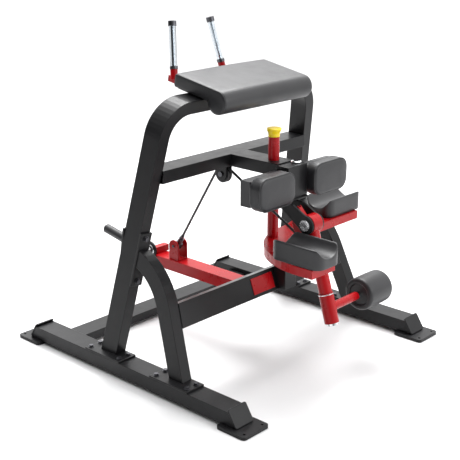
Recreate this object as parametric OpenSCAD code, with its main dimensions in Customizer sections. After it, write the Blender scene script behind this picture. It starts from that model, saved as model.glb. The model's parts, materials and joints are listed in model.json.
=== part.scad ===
// Plate-loaded kneeling leg curl machine.
// X runs along the crossbar, +Y runs away from the user, +Z is up, floor at Z = 0.

/* [Base] */
// Distance from the centre plane to the middle of a rail
rail_x = 561; // [555:1:565]
// Width of a rail
rail_w = 90; // [86:1:94]
// Height of a rail
rail_h = 55; // [52:1:58]
// Length of a rail along its lower edge
rail_len = 1194; // [1180:1:1200]
// Thickness of a foot plate
foot_t = 13; // [12:1:14]

/* [Main frame] */
// Height of the top of the arch, along the lean
arch_h = 1025; // [1023:1:1027]
// Depth of the arch tube, front to back
arch_d = 85; // [83:1:87]
// Lean of the arch towards the user, in degrees
arch_lean = 10.4; // [10.2:0.1:10.6]
// Splay of each upright, in degrees
arch_splay = 7.23; // [7.1:0.01:7.3]
// Outside bend radius of the arch corners
arch_r = 150; // [144:1:154]
// Lean of the curved front legs, in degrees
leg_lean = 20.5; // [20.3:0.1:20.7]
// Height of the top face of the crossbar
bar_top = 828; // [826:1:830]

/* [Pads] */
// Width of the elbow pad
elbow_w = 520; // [500:2:540]
// Depth of the elbow pad
elbow_d = 278; // [274:1:282]
// Width of a thigh pad
thigh_w = 212; // [200:2:212]
// Height of a thigh pad
thigh_h = 131; // [126:1:134]
// Diameter of the ankle roller
roller_dia = 134; // [124:2:138]
// Length of the ankle roller
roller_len = 152; // [140:2:160]

/* [Movement] */
// Distance from the pivot to the roller axis
arm_reach = 338; // [336:1:340]
// Tilt of the leg arm at rest, in degrees
arm_tilt = 16.9; // [16:0.1:18]
// Diameter of the steel cable
cable_dia = 11; // [9:1:11]
// Diameter of the loading horn
horn_dia = 48; // [46:1:50]
// Diameter of a storage peg
peg_dia = 37; // [35:1:40]

/* [Hidden] */
$fn = 48;

tube_wall = 3;
tube_t = 50;
gap = 0.3;
fit = 0.05;
plate_t = 8;
rail_z = foot_t;
rail_top = rail_z + rail_h;
frame_z = rail_top + plate_t;
foot_w = 138;
foot_y = 657;
end_slope = 36;
arch_foot_x = 570;
arch_y = 86;
arch_base = 74;
arch_joint = 190;
leg_y = -293;
leg_w = 68;
leg_r = 306;
leg_bend_z = 345;
beam_d = 96;
beam_mid = 230;
post_y = -242;
cable_x = -30;
pivot = [cable_x, -460, 617];
pulley_c = [cable_x, 0, 734];
pulley_r = 31;
cam_r = 84;
lever_pivot = [0, -118, 255];
lever_w = 76;
stop_z = 209;
stop_y = -98;
stop_len = 46;
clevis_y = 306;
carrier_z = 475;
carrier_t = 35;
dish_h = 80;
dish_w = 140;
dish_l = 238;
clevis_pin = [0, clevis_y, 345];
spindle_r = 20;
axle_r = 12.5;
peg_w = 456;

graphite = [0.13, 0.13, 0.14];
red = [0.75, 0.06, 0.08];
chrome = [0.8, 0.8, 0.82];
vinyl = [0.1, 0.1, 0.11];

// ---- helpers ----
module both() {
    children();
    mirror([1, 0, 0]) children();
}

// Frame that leans with the arch: local Y is square to its front face
module leaning() {
    translate([0, arch_y, arch_base]) rotate([arch_lean, 0, 0]) children();
}

// Extrudes an outline drawn in Y and Z along X
module along_x(len) {
    rotate([90, 0, 90]) linear_extrude(len) children();
}

module rod_x(x0, x1, r) {
    translate([x0, 0, 0]) rotate([0, 90, 0]) cylinder(h = x1 - x0, r = r);
}

module box_tube(size, wall = tube_wall, axis = 0) {
    inner = [for (i = [0:2]) i == axis ? size[i] + 2 : size[i] - 2 * wall];
    difference() {
        cube(size, center = true);
        cube(inner, center = true);
    }
}

module bolt(dia = 12, head = 8) {
    cylinder(h = head, r = dia * 0.95, $fn = 6);
    cylinder(h = 2, r = dia * 1.15);
}

module rounded_rect(w, h, r) {
    hull() for (x = [-1, 1], y = [-1, 1])
        translate([x * (w / 2 - r), y * (h / 2 - r)]) circle(r);
}

// Frame of the leg arm: local -Z runs down the arm
module on_arm() {
    translate(pivot) rotate([-arm_tilt, 0, 0]) children();
}

// ---- base ----
module rail() {
    half = rail_len / 2;
    translate([rail_x - rail_w / 2, 0, rail_z]) difference() {
        along_x(rail_w) polygon([[-half, 0], [half, 0], [half - end_slope, rail_h],
            [-half + end_slope, rail_h]]);
        translate([tube_wall, -half - 1, tube_wall])
            cube([rail_w - 2 * tube_wall, rail_len + 2, rail_h - 2 * tube_wall]);
    }
}
module rail_left() { color(graphite) mirror([1, 0, 0]) rail(); }
module rail_right() { color(graphite) rail(); }

foot_len = 138;
foot_hole_r = 5.5;
foot_hole_x = 48;
foot_hole_y = 18;
module foot_plate() {
    difference() {
        translate([rail_x, foot_y - foot_len / 2, 0]) linear_extrude(foot_t)
            rounded_rect(foot_w, foot_len, 14);
        for (x = [-1, 1])
            translate([rail_x + x * foot_hole_x, foot_y - foot_hole_y, -1])
                cylinder(h = foot_t + 2, r = foot_hole_r);
    }
}
module foot_plates() {
    color(graphite) both() {
        foot_plate();
        mirror([0, 1, 0]) foot_plate();
    }
}

end_plate_t = 5;
module rail_end_plate() {
    tilt = atan(end_slope / rail_h);
    translate([rail_x, rail_len / 2, rail_z]) rotate([tilt, 0, 0])
        rotate([90, 0, 0]) mirror([0, 0, 1]) linear_extrude(end_plate_t)
            translate([0, rail_h / 2 / cos(tilt) + 6]) rounded_rect(rail_w + 4, rail_h / cos(tilt) + 10, 9);
}
module rail_end_plates() {
    color(graphite) both() {
        rail_end_plate();
        mirror([0, 1, 0]) rail_end_plate();
    }
}

rear_beam_y = 424;
rear_beam_d = 96;
rear_beam_h = 35;
module rear_cross_beam() {
    color(graphite) translate([0, rear_beam_y, rail_z + rear_beam_h / 2])
        box_tube([2 * rail_x - rail_w, rear_beam_d, rear_beam_h]);
}

// ---- arch ----
// Points of one edge of the left upright, a distance o in from the outside
function arch_edge(o, foot = -60) =
    let (cw = arch_h - arch_r,
        cx = -arch_foot_x + cw * tan(arch_splay) + arch_r / cos(arch_splay))
    concat([[-arch_foot_x + foot * tan(arch_splay) + o / cos(arch_splay), foot]],
        [for (i = [0:12]) let (t = 180 - arch_splay - i * (90 - arch_splay) / 12)
            [cx + (arch_r - o) * cos(t), cw + (arch_r - o) * sin(t)]],
        [[-arch_joint, arch_h - o]]);
function reversed(v) = [for (i = [len(v) - 1:-1:0]) v[i]];

module arch_blank(o0, o1, grow = 0) {
    leaning() translate([0, arch_d + grow, 0]) rotate([90, 0, 0])
        linear_extrude(arch_d + 2 * grow) polygon(concat(arch_edge(o0), reversed(arch_edge(o1))));
}
module upright() {
    difference() {
        arch_blank(0, tube_t);
        leaning() translate([0, arch_d - tube_wall, 0]) rotate([90, 0, 0])
            linear_extrude(arch_d - 2 * tube_wall)
                polygon(concat(arch_edge(tube_wall, -80), reversed(arch_edge(tube_t - tube_wall, -80))));
        translate([-700, -200, frame_z - 200]) cube([400, 500, 200]);
    }
}
module upright_left() { color(graphite) upright(); }
module upright_right() { color(graphite) mirror([1, 0, 0]) upright(); }
module arch_top_tube() {
    color(graphite) leaning() translate([0, arch_d / 2, arch_h - tube_t / 2])
        box_tube([2 * arch_joint, arch_d, tube_t]);
}

base_len = 205;
module base_plate(y) {
    translate([rail_x - rail_w / 2, y, rail_top]) cube([rail_w, base_len, plate_t]);
}
upright_plate_y = 28;
leg_plate_y = -352;
module base_plates() {
    color(graphite) both() {
        base_plate(upright_plate_y);
        base_plate(leg_plate_y);
    }
}

module frame_bolts() {
    color(chrome * 0.35) both() {
        for (y = [upright_plate_y + 20, upright_plate_y + base_len - 14,
                leg_plate_y + 20, leg_plate_y + base_len - 18], x = [-24, 24])
            translate([rail_x + x, y, frame_z]) bolt(10);
        leaning() for (w = [322, 500])
            translate([arch_foot_x - tube_t / 2 - w * tan(arch_splay), -10, w])
                rotate([90, 0, 0]) bolt(11);
    }
}

// ---- crossbar and forward arm ----
bar_h = 50;
bar_y0 = -57;
bar_d = 98;
module crossbar() {
    color(graphite) difference() {
        translate([0, bar_y0 + bar_d / 2, bar_top - bar_h / 2]) box_tube([900, bar_d, bar_h]);
        both() arch_blank(-10, tube_t, 40);
    }
}

arm_w = 100;
arm_end = -302;
module forward_arm() {
    len = bar_y0 - arm_end;
    color(graphite) difference() {
        translate([0, arm_end + len / 2, bar_top - bar_h / 2]) box_tube([arm_w, len, bar_h], axis = 1);
        translate([0, post_y, bar_top - bar_h - 1]) cylinder(h = bar_h + 2, r = post_r + fit);
    }
}

// ---- curved front legs and lower beam ----
// Edge of a curved leg a distance o behind its front edge, in Y and Z
function leg_edge(o) =
    let (n = [cos(leg_lean), -sin(leg_lean)],
        s = [leg_y, 0] + (leg_bend_z - arch_base) / cos(leg_lean) * [sin(leg_lean), cos(leg_lean)],
        c = s + leg_r * n)
    concat([[leg_y, 0] - 40 * [sin(leg_lean), cos(leg_lean)] + o * n],
        [for (i = [0:10]) let (t = leg_lean + i * 5.4)
            c - (leg_r - o) * [cos(t), -sin(t)]]);
module leg_blank(o0, o1, x0 = 0, x1 = tube_t) {
    translate([-arch_foot_x, 0, arch_base]) rotate([0, 7.35, 0]) translate([x0, 0, 0])
        along_x(x1 - x0) polygon(concat(leg_edge(o0), reversed(leg_edge(o1))));
}
flange_t = 10;
module curved_leg() {
    difference() {
        leg_blank(0, leg_w);
        leg_blank(tube_wall, leg_w - tube_wall, tube_wall, tube_t - tube_wall);
        leaning() translate([-700, -flange_t, 0]) cube([400, 300, 900]);
        translate([-700, -500, frame_z - 200]) cube([400, 500, 200]);
    }
}
module curved_leg_left() { color(graphite) curved_leg(); }
module curved_leg_right() { color(graphite) mirror([1, 0, 0]) curved_leg(); }

flange_w = 412;
module leg_flanges() {
    color(graphite) both() leaning()
        translate([arch_foot_x - tube_t / 2 - flange_w * tan(arch_splay), -flange_t / 2, flange_w])
            rotate([0, -arch_splay, 0]) cube([tube_t + 6, flange_t, 222], center = true);
}

module beam_frame() {
    translate([0, leg_y, arch_base]) rotate([-leg_lean, 0, 0]) translate([0, 0, beam_mid + 14])
        children();
}
module lower_beam() {
    color(graphite) difference() {
        beam_frame() translate([0, tube_t / 2, 0]) box_tube([1010, tube_t, beam_d]);
        both() leg_blank(-30, leg_w + 30, -40, tube_t);
    }
}
module badge_plate() {
    color(red) beam_frame() translate([-84, -3, -34]) cube([129, 3, 68]);
}

// ---- elbow pad and handles ----
pad_t = 54;
pad_edge = 12;
nose_r = 47;
board_t = 8;
board_inset = 14;
module pad_frame() {
    translate([0, 41, 1171]) rotate([arch_lean, 0, 0]) children();
}
module along_x_centred(len) {
    translate([-len / 2, 0, 0]) along_x(len) children();
}
module elbow_pad() {
    color(vinyl) pad_frame() along_x_centred(elbow_w) {
        translate([nose_r - elbow_d, -pad_t]) square([elbow_d - nose_r - pad_edge, pad_t]);
        translate([-2 * pad_edge, pad_edge - pad_t]) square([2 * pad_edge, pad_t - 2 * pad_edge]);
        translate([-pad_edge, -pad_edge]) circle(pad_edge);
        translate([-pad_edge, pad_edge - pad_t]) circle(pad_edge);
        translate([nose_r - elbow_d, -nose_r]) circle(nose_r);
    }
}
module elbow_pad_board() {
    front = 2 * nose_r + 2 - elbow_d;
    color(graphite) pad_frame()
        translate([board_inset - elbow_w / 2, front, -pad_t - board_t])
            cube([elbow_w - 2 * board_inset, -front - board_inset, board_t]);
}

grip_base = [139, 170, 1147];
grip_top = [108, 208, 1340];
grip_len = norm(grip_top - grip_base);
module on_grip() {
    d = grip_top - grip_base;
    translate(grip_base) rotate([0, acos(d[2] / grip_len), atan2(d[1], d[0])]) children();
}
grip_r = 14.5;
grip_rod_r = 6;
socket_r = 15;
socket_h = 42;
socket_top = 8;
collar_h = 12;
cap_h = 20;
cap_wall = 3;
bracket_len = 205;
bracket_w = 30;
bracket_h = 24;
module handle_brackets() {
    color(red) both() {
        leaning() translate([grip_base[0] - bracket_w / 2, arch_d, arch_h - bracket_h - 3])
            cube([bracket_w, bracket_len, bracket_h]);
        on_grip() translate([0, 0, socket_top - socket_h]) cylinder(h = socket_h, r = socket_r);
    }
}
module handle_rods() {
    color(chrome) both() on_grip() translate([0, 0, socket_top])
        cylinder(h = grip_len - socket_top - cap_wall, r = grip_rod_r);
}
module handle_grips() {
    base = socket_top + collar_h;
    color([0.85, 0.9, 0.92, 0.4]) both() on_grip() translate([0, 0, base]) difference() {
        cylinder(h = grip_len - cap_h - base, r = grip_r);
        translate([0, 0, -1]) cylinder(h = grip_len, r = grip_rod_r + gap);
    }
}
module handle_caps() {
    color(chrome * 0.4) both() on_grip() {
        translate([0, 0, socket_top]) difference() {
            cylinder(h = collar_h, r = grip_r + 2);
            translate([0, 0, -1]) cylinder(h = collar_h + 2, r = grip_rod_r);
        }
        translate([0, 0, grip_len - cap_h]) difference() {
            cylinder(h = cap_h, r = grip_r + 2.5);
            translate([0, 0, -1]) cylinder(h = cap_h - cap_wall + 1, r = grip_rod_r);
        }
    }
}

// ---- storage pegs ----
peg_len = 122;
peg_tip = 8;
peg_plate_w = 48;
peg_plate_h = 110;
module on_peg() {
    leaning() translate([arch_foot_x - tube_t / 2 - peg_w * tan(arch_splay), arch_d, peg_w])
        rotate([-90, 0, 0]) children();
}
module storage_pegs() {
    color(vinyl) both() on_peg() translate([0, 0, plate_t]) {
        cylinder(h = peg_len - peg_tip, r = peg_dia / 2);
        translate([0, 0, peg_len - peg_tip])
            cylinder(h = peg_tip, r1 = peg_dia / 2, r2 = peg_dia / 2 - peg_tip + 1);
    }
}
module peg_plates() {
    color(graphite) both() on_peg() translate([-peg_plate_w / 2, -peg_plate_h / 2, 0])
        cube([peg_plate_w, peg_plate_h, plate_t]);
}

// ---- pulley and cable ----
cheek_t = 4;
cheek_x = 13;
cheek_r = 30;
pulley_half = 11;
rim = 6;
pulley_axle_r = 8;
module pulley_housing() {
    color(graphite) translate(pulley_c) difference() {
        both() {
            rod_x(cheek_x, cheek_x + cheek_t, cheek_r);
            translate([cheek_x, -cheek_r, 0])
                cube([cheek_t, 2 * cheek_r, bar_top - bar_h - pulley_c[2]]);
        }
        rod_x(-cheek_r, cheek_r, pulley_axle_r);
    }
}
module pulley() {
    color(vinyl) translate(pulley_c) rotate([0, 90, 0]) rotate_extrude()
        polygon([[pulley_axle_r + fit, -pulley_half], [pulley_r + rim, -pulley_half],
            [pulley_r + rim, -8], [pulley_r, -4], [pulley_r, 4], [pulley_r + rim, 8],
            [pulley_r + rim, pulley_half], [pulley_axle_r + fit, pulley_half]]);
}
module pulley_axle() {
    end = cheek_x + cheek_t;
    color(chrome * 0.4) translate(pulley_c) {
        rod_x(-end, end, pulley_axle_r);
        both() rod_x(end, end + 6, 11);
    }
}

cable_r = cable_dia / 2;
wrap_r = pulley_r + cable_r + gap;
function unit(v) = v / norm(v);

// Frame at a whose local Z points at b
module in_line(a, b) {
    d = b - a;
    translate(a) rotate([0, acos(d[2] / norm(d)), atan2(d[1], d[0])]) children();
}
module cable_between(a, b) {
    in_line(a, b) translate([0, 0, 2 * gap])
        cylinder(h = norm(b - a) - 4 * gap, r = cable_r, $fn = 16);
}
function on_wrap(t) = pulley_c + wrap_r * [0, cos(t), sin(t)];
// Angle at which the rear run leaves the pulley, on its way to the clevis pin
rear_t = let (d = clevis_pin - pulley_c) atan2(d[2], d[1]) + acos(wrap_r / norm([d[1], d[2]]));
// Angle at which the front run leaves the pulley; it meets the cam on the opposite side
front_t = let (d = pivot - pulley_c)
    atan2(d[2], d[1]) + 360 - acos((wrap_r + cam_r) / norm([d[1], d[2]]));
function on_cam(t, r = cam_r) = pivot + r * [0, cos(t), sin(t)];
cam_t = front_t - 180;
fork_len = 62;
fork_top = clevis_pin + fork_len * unit(on_wrap(rear_t) - clevis_pin);
module cable_rear() {
    color(vinyl) cable_between(fork_top, on_wrap(rear_t));
}
module cable_front() {
    color(vinyl) cable_between(on_wrap(front_t), on_cam(cam_t));
}
module cable_over_pulley() {
    color(vinyl) translate(pulley_c) rotate([90, 0, 90]) rotate([0, 0, rear_t])
        rotate_extrude(angle = front_t - rear_t) translate([wrap_r, 0]) circle(cable_r, $fn = 16);
}
fork_pin_r = 6;
module cable_fork() {
    color(chrome * 0.4) difference() {
        in_line(clevis_pin, fork_top) {
            translate([0, 0, 14]) cylinder(h = 30, r = 12);
            translate([0, 0, 44]) cylinder(h = fork_len - 44, r = 9, $fn = 6);
            translate([-14, -11, -14]) cube([28, 22, 30]);
        }
        translate(clevis_pin) rod_x(-30, 30, fork_pin_r);
    }
    color(chrome) translate(clevis_pin) rod_x(-33, 33, fork_pin_r);
}
// Barrel that anchors the cable in the groove of the cam, just past the tangent point
barrel_r = 8;
barrel_t = cam_t - 7.5;
module cable_eye() {
    color(chrome) translate(on_cam(barrel_t)) rod_x(-7, 7, barrel_r);
}

// ---- weight lever ----
lever_h = 50;
lever_end = 454;
lever_front = -150;
lever_bevel = 100;
module weight_lever() {
    z0 = lever_pivot[2] - lever_h / 2;
    color(red) difference() {
        translate([-lever_w / 2, 0, z0]) along_x(lever_w)
            polygon([[lever_front, 0], [lever_end - lever_bevel, 0], [lever_end, lever_h],
                [lever_front, lever_h]]);
        translate([-lever_w / 2 + tube_wall, 0, z0]) along_x(lever_w - 2 * tube_wall)
            polygon([[lever_front - 1, tube_wall], [lever_end - lever_bevel - 2, tube_wall],
                [lever_end - 14, lever_h - tube_wall], [lever_front - 1, lever_h - tube_wall]]);
        translate(lever_pivot) rod_x(-50, 50, axle_r + fit);
    }
}
module lever_shaft() {
    color(chrome) translate(lever_pivot) {
        rod_x(-50, 50, axle_r);
        rod_x(50, 58, 18);
        rod_x(-58, -50, 18);
    }
}
bracket_in = lever_w / 2 + 1;
bracket_t = 11;
seat_t = 12;
module lever_brackets() {
    seat_z = stop_z - seat_t;
    color(graphite) difference() {
        union() {
            both() hull() {
                translate(lever_pivot) rod_x(bracket_in, bracket_in + bracket_t, 26);
                translate([bracket_in, -205, 252]) cube([bracket_t, 10, 68]);
                translate([bracket_in, stop_y, seat_z]) cube([bracket_t, stop_len, seat_t]);
            }
            translate([-bracket_in - 2, stop_y, seat_z])
                cube([2 * bracket_in + 4, stop_len, seat_t]);
        }
        beam_frame() translate([-100, -50, -100]) cube([200, 50 + tube_t, 250]);
        translate(lever_pivot) rod_x(-60, 60, axle_r);
    }
}
module lever_stop() {
    bottom = lever_pivot[2] - lever_h / 2;
    color(vinyl) translate([-25, stop_y, stop_z]) cube([50, stop_len, bottom - gap - stop_z]);
}
module lever_clevis() {
    top = lever_pivot[2] + lever_h / 2;
    color(red) difference() {
        union() {
            both() translate([23, 0, top]) along_x(6) union() {
                translate([clevis_y - 28, 0]) square([56, clevis_pin[2] - top + 8]);
                translate([clevis_y, clevis_pin[2] - top]) circle(28);
            }
            translate([-23, clevis_y - 28, top]) cube([46, 56, 6]);
        }
        translate(clevis_pin) rod_x(-40, 40, 6);
    }
}
horn_z = 304;
horn_y = 436;
horn_len = 188;
horn_root = -40;
// Length of the thicker root that carries the collar
horn_step = 14;
module horn_cross_bar() {
    color(red) translate([horn_root, horn_y - 16, lever_pivot[2] + lever_h / 2]) cube([91, 32, 30]);
}
module loading_horn() {
    color(chrome) translate([0, horn_y, horn_z]) {
        rod_x(horn_root - horn_step, horn_root, horn_dia / 2 + 3);
        rod_x(horn_root - horn_len, horn_root - horn_step + 1, horn_dia / 2);
    }
}
module horn_collar() {
    color(graphite) translate([0, horn_y, horn_z]) difference() {
        rod_x(horn_root - horn_step, horn_root - 6, horn_dia / 2 + 16);
        rod_x(horn_root - 20, horn_root, horn_dia / 2 + 3);
    }
}

// ---- thigh pads, bracket and pivot ----
pad_face = -409;
thigh_t = 60;
thigh_z = 757;
thigh_x = 163;
module thigh_pad() {
    translate([thigh_x, pad_face, thigh_z]) rotate([90, 0, 0]) mirror([0, 0, 1])
        linear_extrude(thigh_t) rounded_rect(thigh_w, thigh_h, 38);
}
module thigh_pad_left() { color(vinyl) mirror([1, 0, 0]) thigh_pad(); }
module thigh_pad_right() { color(vinyl) thigh_pad(); }
block_d = 47;
block_h = 100;
bracket_x = 57;
bracket_recess = 44;
bracket_z = 690;
bracket_top = 824;
bracket_wall = 6;
module pad_blocks() {
    color(graphite) both() translate([bracket_x, pad_face + thigh_t, thigh_z - block_h / 2])
        cube([thigh_x + thigh_w / 2 - bracket_x - 8, block_d, block_h]);
}
module pad_bracket() {
    front = pad_face + bracket_recess;
    depth = arm_end - front;
    inner = bracket_x - bracket_wall;
    color(graphite) {
        difference() {
            translate([-bracket_x, front, bracket_z])
                cube([2 * bracket_x, depth, bracket_top - bracket_z]);
            translate([-inner, front + bracket_wall, bracket_z - 1])
                cube([2 * inner, depth - 3 * bracket_wall, bracket_top - bracket_z - bracket_wall + 1]);
        }
        translate([-bracket_x, front - 9, bracket_z]) cube([2 * bracket_x, 9, bracket_wall]);
    }
}
shaft_r = 15;
hub_r = 38;
hub_half = 26;
column_in = 27;
column_t = 8;
module pivot_column() {
    front = pad_face + bracket_recess + 2;
    color(graphite) difference() {
        union() {
            both_sides_of_arm() {
                hull() {
                    rod_x(column_in, column_in + column_t, 32);
                    translate([column_in, 63, bracket_z - 8 - pivot[2]]) cube([column_t, 90, 4]);
                }
                rod_x(column_in, column_in + column_t, 36);
            }
            translate([pivot[0] - column_in - column_t, front, bracket_z - 8]) cube([24, 60, 8]);
            translate([pivot[0] + column_in, front, bracket_z - 8]) cube([24, 60, 8]);
        }
        translate(pivot) rod_x(-80, 80, shaft_r + fit);
    }
}
module both_sides_of_arm() {
    translate(pivot) both() children();
}
cap_t = 6;
module pivot_shaft() {
    end = column_in + column_t;
    color(chrome) translate(pivot) rod_x(-end, end, shaft_r);
}
module pivot_caps() {
    end = column_in + column_t;
    color(chrome) both_sides_of_arm() rod_x(end, end + cap_t, 22);
}

// ---- leg arm ----
arm_r = 26.5;
sleeve_top = 277;
sleeve_end = 396;
sleeve_r = 29;
cam_half = 10;
groove_half = 7.5;
groove_r = cam_r - cable_r - 0.5;
cam_before = 18;
cam_sweep = 124;
// Grooved sector that the front cable winds onto as the arm swings
module cam() {
    translate(pivot) rotate([90, 0, 90]) rotate([0, 0, cam_t - cam_before])
        rotate_extrude(angle = cam_sweep)
            polygon([[20, -cam_half], [cam_r + 2, -cam_half], [cam_r + 2, -groove_half],
                [groove_r, 2 - groove_half], [groove_r, groove_half - 2],
                [cam_r + 2, groove_half], [cam_r + 2, cam_half], [20, cam_half]]);
}
module leg_arm() {
    color(red) difference() {
        union() {
            translate(pivot) rod_x(-hub_half, hub_half, hub_r);
            on_arm() translate([0, 0, gap - sleeve_top]) cylinder(h = sleeve_top - 20, r = arm_r);
            on_arm() translate([0, 0, 1 - sleeve_end]) cylinder(h = sleeve_end - 40, r = spindle_r);
            cam();
        }
        translate(pivot) rod_x(-40, 40, shaft_r);
        translate(on_cam(barrel_t)) rod_x(-7, 7, barrel_r);
    }
}
module roller_sleeve() {
    color(red) on_arm() difference() {
        union() {
            translate([0, 0, -sleeve_end]) cylinder(h = sleeve_end - sleeve_top, r = sleeve_r);
            translate([0, 0, -arm_reach]) rod_x(20, stub_end, 17);
        }
        translate([0, 0, -sleeve_end - 1]) cylinder(h = sleeve_end, r = spindle_r + fit);
    }
}
roller_x0 = 191;
stub_end = roller_x0 - 14;
module sleeve_ring() {
    color(chrome) on_arm() translate([0, 0, -sleeve_top - 6]) difference() {
        cylinder(h = 3, r = sleeve_r + 1.2);
        translate([0, 0, -1]) cylinder(h = 5, r = sleeve_r);
    }
}
module sleeve_cap() {
    color(chrome) on_arm() translate([0, 0, -sleeve_end - 9]) {
        cylinder(h = 9, r = 24);
        translate([0, 0, -4]) cylinder(h = 4, r1 = 14, r2 = 20);
    }
}
module roller_axle() {
    color(chrome) on_arm() translate([0, 0, -arm_reach]) {
        rod_x(stub_end, roller_x0 + roller_len + 8, axle_r);
        rod_x(roller_x0 + roller_len + 4, roller_x0 + roller_len + 10, 20);
    }
}
module roller_core() {
    color(vinyl) on_arm() translate([roller_x0 + 8, 0, -arm_reach]) rotate([0, 90, 0])
        rotate_extrude() polygon([[axle_r + fit, 0], [44, 0], [44, 6], [20, 6],
            [20, roller_len - 22], [44, roller_len - 22], [44, roller_len - 16],
            [axle_r + fit, roller_len - 16]]);
}
module roller_pad() {
    r = roller_dia / 2;
    color(vinyl) on_arm() translate([roller_x0, 0, -arm_reach]) rotate([0, 90, 0])
        rotate_extrude() polygon([[44 + gap, 0], [r - 8, 0], [r, 8], [r, roller_len - 8],
            [r - 8, roller_len], [44 + gap, roller_len], [44 + gap, roller_len - 14.3],
            [20 + gap, roller_len - 14.3], [20 + gap, 14.3], [44 + gap, 14.3]]);
}

// ---- knee support ----
post_r = 22.5;
post_top = 921;
rod_r = 8;
module swivel_post() {
    color(red) translate([0, post_y, 0]) difference() {
        union() {
            translate([0, 0, carrier_z + carrier_t]) cylinder(h = post_top - carrier_z - carrier_t,
                r = post_r);
            translate([0, 0, carrier_z - 30]) cylinder(h = 30 + carrier_t, r = 15);
        }
        translate([0, 0, 600]) cylinder(h = post_top, r = rod_r + fit);
    }
}
module pull_knob() {
    color([0.95, 0.78, 0.05]) translate([0, post_y, post_top + gap]) rotate_extrude()
        polygon([[0, 0], [23, 0], [23.5, 14], [29, 25], [30, 31], [27, 34], [0, 34]]);
    color(chrome) translate([0, post_y, 640]) cylinder(h = post_top + 5 - 640, r = rod_r);
}

carrier_x0 = -212;
carrier_x1 = 520;
carrier_y0 = -612;
carrier_y1 = -140;
carrier_front = -285;
carrier_r = 349;
carrier_c = [137, -536];
carrier_bore_r = 15;
function carrier_arc() = [for (i = [0:14]) let (t = 90 + i * 90 / 14)
    carrier_c + carrier_r * [cos(t), sin(t)]];
module knee_carrier() {
    inner = carrier_x0 + dish_w;
    color(red) translate([0, 0, carrier_z]) difference() {
        linear_extrude(carrier_t) polygon(concat([[carrier_x1, carrier_y1], [340, carrier_y1]],
            carrier_arc(), [[carrier_x0, carrier_y0], [inner, carrier_y0], [inner, -400],
                [50, carrier_front], [carrier_x1, carrier_front]]));
        translate([0, post_y, -1]) cylinder(h = carrier_t + 2, r = carrier_bore_r);
    }
}
dish_corner = 38;
trough_r = 64;
trough_z = 102;
module dish_outline() {
    translate([dish_l / 2, 0]) rounded_rect(dish_l, dish_w, dish_corner);
}
module dish() {
    difference() {
        linear_extrude(dish_h) dish_outline();
        translate([-20, 0, trough_z]) rotate([0, 90, 0]) cylinder(h = dish_l + 60, r = trough_r);
    }
}
dish_y0 = -404;
dish_x0 = 331;
module knee_dishes() {
    top = carrier_z + carrier_t;
    color(vinyl) {
        translate([carrier_x0 + dish_w / 2, dish_y0, top]) rotate([0, 0, -90]) dish();
        translate([dish_x0, carrier_front + 12 + dish_w / 2, top]) dish();
    }
}
support_x = 60;
support_w = 70;
support_d = 62;
support_z0 = 262;
support_t = 14;
module carrier_support() {
    plate_z = carrier_z - support_t;
    front = post_y - 20;
    color(graphite) difference() {
        union() {
            translate([support_x, front, support_z0])
                cube([support_w, support_d, plate_z - support_z0 + 1]);
            translate([0, 0, plate_z]) linear_extrude(support_t - gap) hull() {
                translate([0, post_y]) circle(34);
                translate([support_x, front]) square([support_w, support_d]);
            }
        }
        translate([0, post_y, plate_z - 50]) cylinder(h = 100, r = carrier_bore_r + fit);
        beam_frame() translate([-100, 0, -150]) cube([400, 400, 400]);
    }
}

rail_left();
rail_right();
foot_plates();
rail_end_plates();
rear_cross_beam();
upright_left();
upright_right();
arch_top_tube();
base_plates();
frame_bolts();
crossbar();
forward_arm();
curved_leg_left();
curved_leg_right();
leg_flanges();
lower_beam();
badge_plate();
elbow_pad();
elbow_pad_board();
handle_brackets();
handle_rods();
handle_grips();
handle_caps();
storage_pegs();
peg_plates();
pulley_housing();
pulley();
pulley_axle();
cable_rear();
cable_over_pulley();
cable_front();
cable_fork();
cable_eye();
lever_clevis();
weight_lever();
lever_shaft();
lever_brackets();
lever_stop();
loading_horn();
horn_cross_bar();
horn_collar();
pad_bracket();
thigh_pad_left();
thigh_pad_right();
pad_blocks();
pivot_column();
pivot_shaft();
pivot_caps();
leg_arm();
roller_sleeve();
sleeve_ring();
sleeve_cap();
roller_axle();
roller_core();
roller_pad();
swivel_post();
pull_knob();
knee_carrier();
knee_dishes();
carrier_support();
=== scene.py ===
import bpy, json, math
from mathutils import Matrix, Vector


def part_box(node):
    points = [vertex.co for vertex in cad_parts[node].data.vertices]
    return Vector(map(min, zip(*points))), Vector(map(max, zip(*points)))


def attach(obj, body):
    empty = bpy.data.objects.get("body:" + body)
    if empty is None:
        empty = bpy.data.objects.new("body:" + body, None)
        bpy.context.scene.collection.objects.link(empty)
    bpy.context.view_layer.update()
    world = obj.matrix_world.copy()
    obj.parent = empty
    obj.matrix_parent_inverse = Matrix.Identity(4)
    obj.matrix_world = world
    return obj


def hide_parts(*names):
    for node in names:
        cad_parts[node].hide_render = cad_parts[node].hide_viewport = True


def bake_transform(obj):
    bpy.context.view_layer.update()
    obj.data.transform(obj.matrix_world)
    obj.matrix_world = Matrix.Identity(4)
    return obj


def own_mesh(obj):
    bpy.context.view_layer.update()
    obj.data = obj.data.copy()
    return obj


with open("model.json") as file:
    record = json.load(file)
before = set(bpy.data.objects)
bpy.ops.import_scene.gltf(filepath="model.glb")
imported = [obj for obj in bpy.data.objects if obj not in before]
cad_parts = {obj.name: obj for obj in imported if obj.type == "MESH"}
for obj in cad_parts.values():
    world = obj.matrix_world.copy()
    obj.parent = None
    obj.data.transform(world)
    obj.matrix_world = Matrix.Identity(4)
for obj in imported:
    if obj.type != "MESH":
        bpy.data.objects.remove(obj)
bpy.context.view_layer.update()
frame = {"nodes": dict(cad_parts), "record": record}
NODES = frame["nodes"]
LEAN = math.radians(10.4)  # of the arch and everything fixed to it


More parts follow.
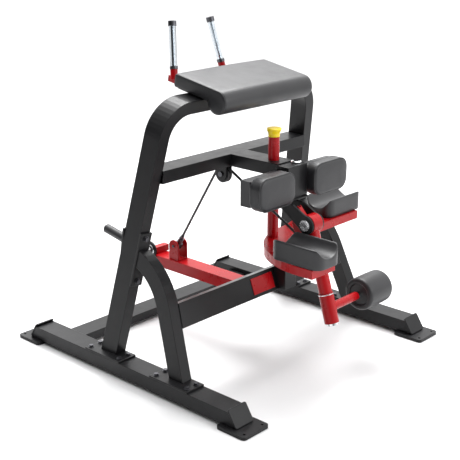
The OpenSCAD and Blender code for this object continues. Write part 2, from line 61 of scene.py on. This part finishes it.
# ---- materials ----
def new_material(name, color, rough, metallic=0.0, coat=0.0, specular=0.5):
    mat = bpy.data.materials.new(name)
    mat.use_nodes = True
    shader = mat.node_tree.nodes["Principled BSDF"]
    shader.inputs["Base Color"].default_value = (*color, 1)
    shader.inputs["Roughness"].default_value = rough
    shader.inputs["Metallic"].default_value = metallic
    shader.inputs["Coat Weight"].default_value = coat
    shader.inputs["Specular IOR Level"].default_value = specular
    return mat, shader


def noise(mat, scale, detail=4.0, distortion=0.0):
    tree = mat.node_tree
    coords = tree.nodes.new("ShaderNodeTexCoord")
    tex = tree.nodes.new("ShaderNodeTexNoise")
    tex.inputs["Scale"].default_value = scale
    tex.inputs["Detail"].default_value = detail
    tex.inputs["Distortion"].default_value = distortion
    tree.links.new(coords.outputs["Object"], tex.inputs["Vector"])
    return tex.outputs["Fac"]


def ramp(mat, source, low, high, start=0.3, end=0.7):
    """Maps a noise value onto the range between two values or colours."""
    node = mat.node_tree.nodes.new("ShaderNodeValToRGB")
    node.color_ramp.elements[0].position = start
    node.color_ramp.elements[1].position = end
    node.color_ramp.elements[0].color = low if len(low) == 4 else (*low, 1)
    node.color_ramp.elements[1].color = high if len(high) == 4 else (*high, 1)
    mat.node_tree.links.new(source, node.inputs["Fac"])
    return node.outputs["Color"]


def vary_color(mat, shader, color, amount, scale):
    low = tuple(c * (1 - amount) for c in color)
    high = tuple(min(1, c * (1 + amount)) for c in color)
    mat.node_tree.links.new(ramp(mat, noise(mat, scale), low, high), shader.inputs["Base Color"])


def vary_rough(mat, shader, low, high, scale):
    values = ramp(mat, noise(mat, scale), (low,) * 3, (high,) * 3)
    mat.node_tree.links.new(values, shader.inputs["Roughness"])


def add_bump(mat, shader, source, strength, distance=0.001, edge=0.0):
    """Adds relief, and rounds sharp edges over a radius of edge metres."""
    tree = mat.node_tree
    node = tree.nodes.new("ShaderNodeBump")
    node.inputs["Strength"].default_value = strength
    node.inputs["Distance"].default_value = distance
    tree.links.new(source, node.inputs["Height"])
    if edge:
        bevel = tree.nodes.new("ShaderNodeBevel")
        bevel.samples = 6
        bevel.inputs["Radius"].default_value = edge
        tree.links.new(bevel.outputs["Normal"], node.inputs["Normal"])
    tree.links.new(node.outputs["Normal"], shader.inputs["Normal"])


def powder_coat(name, color, rough, coat, specular):
    mat, shader = new_material(name, color, rough, coat=coat, specular=specular)
    shader.inputs["Coat Roughness"].default_value = 0.12
    vary_color(mat, shader, color, 0.10, 9)
    vary_rough(mat, shader, rough - 0.05, rough + 0.06, 22)
    add_bump(mat, shader, noise(mat, 900, 2), 0.06, 0.0006, edge=0.004)
    return mat


def vinyl_material(name, color, rough):
    mat, shader = new_material(name, color, rough)
    tree = mat.node_tree
    coords = tree.nodes.new("ShaderNodeTexCoord")
    cells = tree.nodes.new("ShaderNodeTexVoronoi")
    cells.feature = "DISTANCE_TO_EDGE"
    cells.inputs["Scale"].default_value = 420
    tree.links.new(coords.outputs["Object"], cells.inputs["Vector"])
    vary_color(mat, shader, color, 0.12, 6)
    vary_rough(mat, shader, rough - 0.05, rough + 0.07, 14)
    add_bump(mat, shader, cells.outputs["Distance"], 0.18, 0.0008)
    return mat


def metal(name, color, low, high):
    mat, shader = new_material(name, color, low, metallic=1.0)
    vary_rough(mat, shader, low, high, 60)
    add_bump(mat, shader, noise(mat, 300, 2), 0.02, 0.0004, edge=0.001)
    return mat


def plastic(name, color, rough, scale=500, strength=0.10, edge=0.003):
    mat, shader = new_material(name, color, rough)
    vary_color(mat, shader, color, 0.08, 12)
    vary_rough(mat, shader, rough - 0.04, rough + 0.05, 30)
    add_bump(mat, shader, noise(mat, scale, 3), strength, 0.0006, edge=edge)
    return mat


def clear_acrylic():
    mat, shader = new_material("clear_acrylic", (0.60, 0.64, 0.67), 0.04)
    shader.inputs["Transmission Weight"].default_value = 1.0
    shader.inputs["IOR"].default_value = 1.45
    add_bump(mat, shader, noise(mat, 40, 2), 0.02, 0.0005)
    return mat


def cable_material():
    mat, shader = new_material("cable", (0.02, 0.02, 0.021), 0.38)
    tree = mat.node_tree
    coords = tree.nodes.new("ShaderNodeTexCoord")
    wave = tree.nodes.new("ShaderNodeTexWave")
    wave.inputs["Scale"].default_value = 90
    wave.bands_direction = "DIAGONAL"
    tree.links.new(coords.outputs["Object"], wave.inputs["Vector"])
    vary_rough(mat, shader, 0.32, 0.45, 90)
    add_bump(mat, shader, wave.outputs["Fac"], 0.25, 0.0006)
    return mat


MATERIALS = {
    "frame_paint": powder_coat("frame_paint", (0.010, 0.010, 0.011), rough=0.34, coat=0.04, specular=0.22),
    "red_paint": powder_coat("red_paint", (0.36, 0.001, 0.004), rough=0.30, coat=0.06, specular=0.25),
    "chrome": metal("chrome", (0.86, 0.87, 0.89), low=0.06, high=0.16),
    "vinyl": vinyl_material("vinyl", (0.014, 0.014, 0.016), rough=0.42),
    "black_plastic": plastic("black_plastic", (0.018, 0.018, 0.020), rough=0.38),
    "dark_steel": metal("dark_steel", (0.10, 0.10, 0.11), low=0.28, high=0.42),
    "clear_plastic": clear_acrylic(),
    "rubber": plastic("rubber", (0.02, 0.02, 0.02), rough=0.75, scale=250, strength=0.25),
    "yellow_plastic": plastic("yellow_plastic", (0.85, 0.62, 0.004), rough=0.30, scale=300, strength=0.05),
    "cable": cable_material(),
}


def dress_cad_nodes():
    for part in frame["record"]["subparts"]:
        data = NODES[part["node"]].data
        data.materials.clear()
        data.materials.append(MATERIALS[part["material_slot"]])


# ---- mesh helpers ----
def make_mesh(name, verts, faces, slot):
    data = bpy.data.meshes.new(name)
    data.from_pydata([tuple(v) for v in verts], [], faces)
    data.validate()
    obj = bpy.data.objects.new(name, data)
    bpy.context.scene.collection.objects.link(obj)
    for poly in data.polygons:
        poly.use_smooth = True
    data.materials.append(MATERIALS[slot])
    return obj


def skin(rings, ends="fan"):
    """Points and faces that join rings of equal length. The ends get a fan or a flat face, or are joined."""
    count, last = len(rings[0]), len(rings) - 1
    verts = [p for ring in rings for p in ring]
    faces = []
    for r in range(len(rings) if ends == "joined" else last):
        a, b = r * count, (r + 1) % len(rings) * count
        for i in range(count):
            j = (i + 1) % count
            faces.append((a + i, a + j, b + j, b + i))
    if ends == "flat":
        faces.append(tuple(range(count))[::-1])
        faces.append(tuple(last * count + i for i in range(count)))
    if ends == "fan":
        for ring, flip in ((0, True), (last, False)):
            verts.append(sum((Vector(p) for p in rings[ring]), Vector()) / count)
            tip = len(verts) - 1
            for i in range(count):
                tri = (ring * count + i, ring * count + (i + 1) % count, tip)
                faces.append(tri[::-1] if flip else tri)
    return verts, faces


def rings_to_mesh(name, rings, slot, ends="fan"):
    verts, faces = skin(rings, ends)
    return make_mesh(name, verts, faces, slot)


def rounded_outline(w, h, r, per_corner=10):
    """Points round a rectangle with round corners, centred on the origin."""
    r = max(min(r, w / 2 - 1e-4, h / 2 - 1e-4), 1e-4)
    points = []
    for k, (sx, sy) in enumerate(((1, 1), (-1, 1), (-1, -1), (1, -1))):
        for i in range(per_corner):
            t = math.radians(90 * k + 90 * i / (per_corner - 1))
            points.append((sx * (w / 2 - r) + r * math.cos(t), sy * (h / 2 - r) + r * math.sin(t)))
    return points


def tube_along(name, path, radius, slot, sides=12, closed=False, place=None):
    """A round tube along a list of points."""
    rings = []
    count = len(path)
    up = Vector((0.12, 0.2, 1)).normalized()
    for i, p in enumerate(path):
        before = path[i - 1] if i or closed else path[i]
        after = path[(i + 1) % count] if i < count - 1 or closed else path[i]
        along = (Vector(after) - Vector(before)).normalized()
        side = along.cross(up).normalized()
        top = side.cross(along)
        rings.append([Vector(p) + radius * (math.cos(a) * side + math.sin(a) * top)
                      for a in (2 * math.pi * k / sides for k in range(sides))])
    if place:
        rings = [[place @ p for p in ring] for ring in rings]
    return rings_to_mesh(name, rings, slot, "joined" if closed else "fan")


def quarter(steps=7):
    """Angles from 0 to 90 degrees, for a rounded edge."""
    return [math.radians(90 * i / (steps - 1)) for i in range(steps)]


# ---- pads ----
def pad_form(name, w, h, t, corner, edge, crown, place):
    """A closed cushion: back at z = 0, crowned front at z = t, then moved by the matrix place."""
    rings = []

    def ring(inset, z):
        outline = rounded_outline(w - 2 * inset, h - 2 * inset, corner - inset)
        rings.append([place @ Vector((x, y, z)) for x, y in outline])

    back, bulge, steps = edge * 0.5, 0.0012, 8
    for a in quarter():
        ring(back * (1 - math.sin(a)), back * (1 - math.cos(a)))
    ring(-bulge, t * 0.5)
    for a in quarter():
        ring(edge * (1 - math.cos(a)), t - crown - edge * (1 - math.sin(a)))
    inner = min(w, h) / 2 - edge - 0.004
    for i in range(1, steps + 1):
        share = i / steps
        ring(edge + inner * share, t - crown * (1 - share) ** 2)
    return rings_to_mesh(name, rings, "vinyl")


def welt(name, w, h, corner, z, radius, place):
    """A thin round seam that follows a pad's outline at height z."""
    path = [Vector((x, y, z)) for x, y in rounded_outline(w, h, corner)]
    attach(tube_along(name, path, radius, "vinyl", 8, True, place), "frame")


def thigh_pad(node):
    lo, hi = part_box(node)
    w, t, h = hi.x - lo.x, hi.y - lo.y, hi.z - lo.z
    middle = ((lo.x + hi.x) / 2, hi.y, (lo.z + hi.z) / 2)
    place = Matrix.Translation(middle) @ Matrix.Rotation(math.pi / 2, 4, "X")
    corner, edge, crown, slack = 0.044, 0.014, 0.0022, 0.002
    pad = pad_form(node + "_cushion", w - slack, h - slack, t, corner, edge, crown, place)
    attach(pad, "frame")
    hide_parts(node)
    welt(node + "_welt", w - 0.005, h - 0.005, 0.042, t - 0.0085, 0.0022, place)
    welt(node + "_back_seam", w - 0.003, h - 0.003, 0.043, 0.012, 0.0016, place)


def leaned_box(node):
    """The node's box in a frame that leans with the arch."""
    turn = Matrix.Rotation(-LEAN, 3, "X")
    points = [turn @ v.co for v in NODES[node].data.vertices]
    low = Vector(min(p[i] for p in points) for i in range(3))
    high = Vector(max(p[i] for p in points) for i in range(3))
    return low, high


def arc(cy, cz, r, start, end, count):
    """Points on a circle from one angle to another, in degrees."""
    angles = [math.radians(start + (end - start) * i / (count - 1)) for i in range(count)]
    return [(cy + r * math.cos(a), cz + r * math.sin(a)) for a in angles]


def level(y0, y1, z, parts):
    """Points between two ends of a level line, without the ends."""
    return [(y0 + (y1 - y0) * i / parts, z) for i in range(1, parts)]


def elbow_profile(front, back, top, slab):
    """Side outline of the elbow pad: a flat slab with a round nose that hangs below it at the front."""
    nose, small = 0.047, 0.012
    meet = math.asin((slab - nose) / nose)
    under = front + nose + nose * math.cos(meet)
    profile = arc(back - small, top - small, small, 0, 90, 7)
    profile += level(back - small, front + nose, top, 10)
    profile += arc(front + nose, top - nose, nose, 90, 360 - math.degrees(meet), 28)
    profile += level(under, back - small, top - slab, 8)
    return profile + arc(back - small, top - slab + small, small, 270, 360, 7)


def inward(profile):
    """The unit vector that points into a closed outline at each of its points."""
    normals = []
    for i in range(len(profile)):
        before, after = profile[i - 1], profile[(i + 1) % len(profile)]
        dy, dz = after[0] - before[0], after[1] - before[1]
        size = math.hypot(dy, dz) or 1
        normals.append((-dz / size, dy / size))
    return normals


def elbow_pad():
    lo, hi = leaned_box("elbow_pad")
    place = Matrix.Rotation(LEAN, 4, "X")
    slab, end, crown, spans = 0.054, 0.011, 0.0025, 24
    profile = elbow_profile(lo.y, hi.y, hi.z, slab)
    normals = inward(profile)
    half, mid = (hi.x - lo.x) / 2, (hi.x + lo.x) / 2

    def ring(x, inset):
        rise = crown * (1 - (x / half) ** 2)
        out = []
        for (y, z), (ny, nz) in zip(profile, normals):
            lift = rise if z > hi.z - slab / 2 else 0
            out.append(place @ Vector((mid + x, y + ny * inset, z + nz * inset + lift - crown)))
        return out

    bends = quarter()
    rings = [ring(-half + end - end * math.cos(a), end - end * math.sin(a)) for a in bends]
    rings += [ring(-half + end + (2 * half - 2 * end) * i / spans, 0) for i in range(1, spans)]
    rings += [ring(half - end + end * math.cos(a), end - end * math.sin(a)) for a in reversed(bends)]
    pad = rings_to_mesh("elbow_cushion", rings, "vinyl", "flat")
    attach(pad, "frame")
    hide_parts("elbow_pad")
    seam_in, seam_r = 0.0035, 0.0020
    for name, side in (("elbow_seam_left", -1), ("elbow_seam_right", 1)):
        x = mid + side * (half - seam_in)
        path = [place @ Vector((x, y + ny * seam_in, z + nz * seam_in - crown))
                for (y, z), (ny, nz) in zip(profile, normals)]
        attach(tube_along(name, path, seam_r, "vinyl", 8, True), "frame")


def roller():
    lo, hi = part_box("roller_pad")
    centre = (lo + hi) / 2
    r, length = (hi.z - lo.z) / 2, hi.x - lo.x
    bore, hole, recess, lip, edge, bulge = 0.0205, 0.0445, 0.012, 0.004, 0.013, 0.0012
    end = [(bore, recess), (hole - lip, recess), (hole, recess - lip), (hole, lip), (hole + lip, 0)]
    end += [(r - edge + edge * math.sin(a), edge * (1 - math.cos(a))) for a in quarter()]
    shares = [i / 12 for i in range(1, 12)]
    side = [(r + bulge * math.sin(math.pi * s), edge + (length - 2 * edge) * s) for s in shares]
    outline = end + side + [(rad, length - x) for rad, x in reversed(end)]
    sides = 72
    rings = []
    for k in range(sides):
        a = 2 * math.pi * k / sides
        rings.append([Vector((lo.x + x, centre.y + rad * math.cos(a), centre.z + rad * math.sin(a)))
                      for rad, x in outline])
    pad = rings_to_mesh("roller_cushion", rings, "vinyl", "joined")
    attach(pad, "roller_body")
    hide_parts("roller_pad")


# ---- moulded parts ----
def even_outline(w, h, r, count):
    """The rounded outline again, with its points evenly spaced all the way round."""
    corners = rounded_outline(w, h, r, 16)
    lengths = [math.dist(corners[i], corners[(i + 1) % len(corners)]) for i in range(len(corners))]
    total = sum(lengths)
    points, passed, k = [], 0.0, 0
    for i in range(count):
        target = total * i / count
        while passed + lengths[k] < target:
            passed += lengths[k]
            k += 1
        share = (target - passed) / max(lengths[k], 1e-9)
        a, b = corners[k], corners[(k + 1) % len(corners)]
        points.append((a[0] + (b[0] - a[0]) * share, a[1] + (b[1] - a[1]) * share))
    return points


def dish_rings(length, width, height, place):
    """Rings of one knee dish: a block with round corners and a trough along its length."""
    corner, radius, centre_z, edge, soft, count = 0.040, 0.064, 0.102, 0.007, 0.006, 120
    widest = radius * 0.995

    def top(y):
        """The trough's height across the dish, joined softly to the flat rim."""
        trough = centre_z - math.sqrt(radius ** 2 - min(abs(y), widest) ** 2)
        return (trough + height - math.sqrt((trough - height) ** 2 + soft ** 2)) / 2

    def ring(inset, height_at):
        outline = even_outline(length - 2 * inset, width - 2 * inset, corner - inset, count)
        return [place @ Vector((x, y, height_at(y))) for x, y in outline]

    rings = [ring(0.004, lambda y: 0.0), ring(0.0012, lambda y: 0.0012), ring(0.0, lambda y: 0.004)]
    for share in (0.25, 0.5, 0.75, 1.0):
        rings.append(ring(0.0, lambda y, s=share: 0.004 + (top(y) - edge - 0.004) * s))
    for a in quarter()[1:]:
        rings.append(ring(edge * (1 - math.cos(a)), lambda y, a=a: top(y) - edge * (1 - math.sin(a))))
    inner, steps = width / 2 - edge - 0.001, 18
    for i in range(1, steps + 1):
        rings.append(ring(edge + inner * i / steps, top))
    return rings


def knee_dishes():
    points = [v.co.copy() for v in NODES["knee_dishes"].data.vertices]
    verts, faces = [], []
    for side, turn in ((-1, -math.pi / 2), (1, 0.0)):
        part = [p for p in points if (p.x - 0.1) * side > 0]
        low = Vector(min(p[i] for p in part) for i in range(3))
        high = Vector(max(p[i] for p in part) for i in range(3))
        size = high - low
        middle = Vector(((low.x + high.x) / 2, (low.y + high.y) / 2, low.z))
        place = Matrix.Translation(middle) @ Matrix.Rotation(turn, 4, "Z")
        rings = dish_rings(max(size.x, size.y), min(size.x, size.y), size.z, place)
        dish_verts, dish_faces = skin(rings)
        start = len(verts)
        verts += dish_verts
        faces += [tuple(start + i for i in face) for face in dish_faces]
    dishes = make_mesh("moulded_dishes", verts, faces, "black_plastic")
    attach(dishes, "knee_body")
    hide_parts("knee_dishes")


def lathe(name, outline, centre, slot, sides=48):
    """Turns (radius, height) points round the vertical through centre."""
    rings = [[centre + Vector((r * math.cos(a), r * math.sin(a), z))
              for a in (2 * math.pi * k / sides for k in range(sides))] for r, z in outline]
    return rings_to_mesh(name, rings, slot)


def bracket_cap():
    lo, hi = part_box("pad_bracket")
    centre = Vector((hi.x - 0.023, lo.y + 0.046, hi.z))
    outline = [(0.0210, 0.0), (0.0210, 0.005), (0.0202, 0.0068), (0.0185, 0.0078),
               (0.012, 0.0088), (0.001, 0.009)]
    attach(lathe("bracket_cap", outline, centre, "chrome"), "frame")


# ---- cables ----
CABLE_R = 0.0055
RUN_STEPS, WRAP_STEPS = 40, 48


def run_ends(node):
    """The centres of a straight run's lower and upper end."""
    reach = 0.012
    points = [v.co.copy() for v in NODES[node].data.vertices]
    bottom, top = min(p.z for p in points), max(p.z for p in points)
    low = [p for p in points if p.z < bottom + reach]
    high = [p for p in points if p.z > top - reach]
    return sum(low, Vector()) / len(low), sum(high, Vector()) / len(high)


def straight(a, b):
    return [a.lerp(b, i / RUN_STEPS) for i in range(RUN_STEPS + 1)]


def middle_of(node):
    lo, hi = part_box(node)
    return (lo + hi) / 2


def rear_run():
    """The rear cable as one straight run between its lower and upper ends, fixed to the frame."""
    low, high = run_ends("cable_rear")
    pin_end = 0.0325
    ends = [v.co.copy() for v in NODES["cable_fork"].data.vertices if abs(v.co.x) > pin_end]
    pin = sum(ends, Vector()) / len(ends)
    pin.x = 0
    run = tube_along("rear_cable_run", straight(low, high), CABLE_R, "cable")
    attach(run, "frame")
    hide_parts("cable_rear")
    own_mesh(run)


def front_run():
    low, high = run_ends("cable_front")
    run = tube_along("front_cable_run", straight(low, high), CABLE_R, "cable")
    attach(run, "frame")
    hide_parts("cable_front")


def cam_wrap():
    """The short length between the tangent point and the barrel, which spreads round the cam."""
    start = run_ends("cable_front")[0]
    pivot, barrel = middle_of("pivot_shaft"), middle_of("cable_eye")
    reach = math.hypot(start.y - pivot.y, start.z - pivot.z)
    first = math.atan2(start.z - pivot.z, start.y - pivot.y)
    last = math.atan2(barrel.z - pivot.z, barrel.y - pivot.y)
    while last > first:
        last -= 2 * math.pi
    path = []
    for i in range(WRAP_STEPS + 1):
        t = first + (last - first) * i / WRAP_STEPS
        path.append(Vector((start.x, pivot.y + reach * math.cos(t), pivot.z + reach * math.sin(t))))
    wrap = tube_along("cam_cable_wrap", path, CABLE_R, "cable")
    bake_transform(wrap)


# ---- stage ----
def sky_shading(tree):
    """Bright above and on the right, dark on the left, so that the faces of a tube stand apart."""
    coords = tree.nodes.new("ShaderNodeTexCoord")
    side = tree.nodes.new("ShaderNodeVectorMath")
    side.operation = "DOT_PRODUCT"
    side.inputs[1].default_value = (0.72, 0.05, 0.69)
    spread = tree.nodes.new("ShaderNodeMapRange")
    spread.inputs["From Min"].default_value = -0.45
    spread.inputs["From Max"].default_value = 0.9
    spread.inputs["To Min"].default_value = 0.06
    spread.inputs["To Max"].default_value = 1.6
    tree.links.new(coords.outputs["Generated"], side.inputs[0])
    tree.links.new(side.outputs["Value"], spread.inputs["Value"])
    tree.links.new(spread.outputs["Result"], tree.nodes["Background"].inputs["Strength"])


def floor_and_sky():
    bpy.ops.mesh.primitive_plane_add(size=30, location=(0, 0, 0))
    floor = bpy.context.object
    floor.name = "floor"
    mat, shader = new_material("floor", (0.66, 0.66, 0.665), 0.6)
    vary_rough(mat, shader, 0.42, 0.55, 2)
    floor.data.materials.append(mat)
    world = bpy.data.worlds.new("studio")
    bpy.context.scene.world = world
    bpy.context.scene.view_settings.view_transform = "Standard"
    world.use_nodes = True
    world.node_tree.nodes["Background"].inputs["Color"].default_value = (1, 1, 1, 1)
    sky_shading(world.node_tree)


def turned(direction):
    """The rotation that points a lamp or a camera along a direction."""
    return Vector(direction).to_track_quat("-Z", "Y").to_euler()


# Name, place in metres, width in metres and power in watts
LAMPS = (
    ("key", (1.6, 1.2, 4.2), 2.4, 190),
    ("fill", (1.2, -4.0, 2.2), 2.4, 60),
    ("back", (0.5, 4.0, 3.2), 3.0, 90),
)


def lamps():
    target = Vector((0, 0, 0.6))
    for name, place, size, power in LAMPS:
        light = bpy.data.lights.new(name, "AREA")
        light.size = size
        light.energy = power
        lamp = bpy.data.objects.new(name, light)
        lamp.location = place
        lamp.rotation_euler = turned(target - Vector(place))
        bpy.context.scene.collection.objects.link(lamp)
    sun = bpy.data.lights.new("sun", "SUN")
    sun.energy = 1.9
    sun.angle = 0.8
    lamp = bpy.data.objects.new("sun", sun)
    lamp.rotation_euler = turned((-0.35, -0.45, -1.6))
    bpy.context.scene.collection.objects.link(lamp)


def camera():
    data = bpy.data.cameras.new("camera")
    data.lens = 78.98
    data.sensor_width = 36
    eye = bpy.data.objects.new("camera", data)
    eye.location = (-2.954, -2.742, 1.800)
    eye.rotation_euler = turned((0.6975, 0.6457, -0.3109))
    bpy.context.scene.collection.objects.link(eye)
    bpy.context.scene.camera = eye


floor_and_sky()
lamps()
camera()
dress_cad_nodes()
elbow_pad()
thigh_pad("thigh_pad_left")
thigh_pad("thigh_pad_right")
roller()
knee_dishes()
bracket_cap()
rear_run()
front_run()
cam_wrap()
